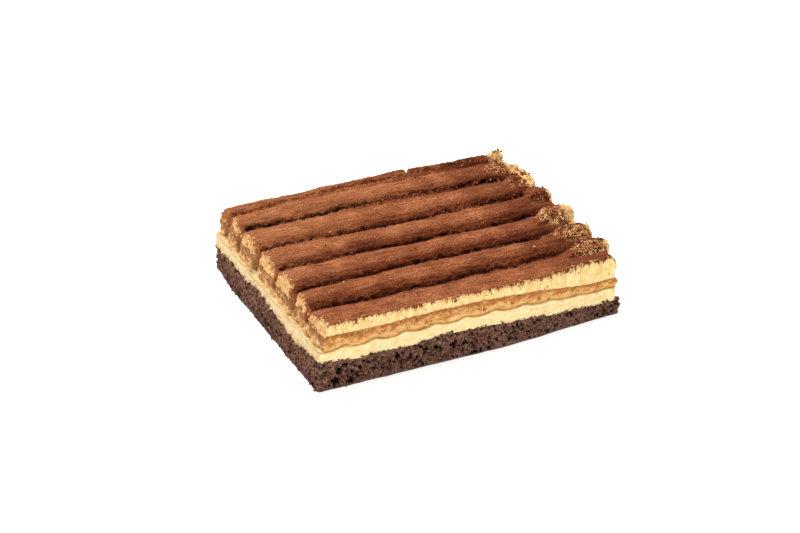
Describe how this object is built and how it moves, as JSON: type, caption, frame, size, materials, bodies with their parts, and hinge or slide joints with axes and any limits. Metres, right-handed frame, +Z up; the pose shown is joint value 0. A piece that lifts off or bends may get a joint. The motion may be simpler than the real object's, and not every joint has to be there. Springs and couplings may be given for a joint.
{
  "type": "tiramisu cake",
  "caption": "Rectangular tiramisu slab: cocoa sponge, cream and a coffee-soaked sheet of piped ladyfinger biscuit in dusted ridges, standing on its flat base.",
  "frame": {"origin": "middle of the slab's underside", "axes": "+X along the ridges towards their blunt piped ends, +Y from the knife-cut front face to the back, +Z up"},
  "size_m": [0.201, 0.163, 0.0451],
  "materials": {
    "cocoa_sponge": "matte",
    "cream": "matte",
    "soaked_biscuit": "matte",
    "dusted_biscuit": "matte"
  },
  "bodies": {
    "root": {"base_sponge": "cocoa_sponge", "cream_layer": "cream", "soaked_biscuit": "soaked_biscuit", "ladyfinger_ridges": "dusted_biscuit"}
  },
  "joints": []
}
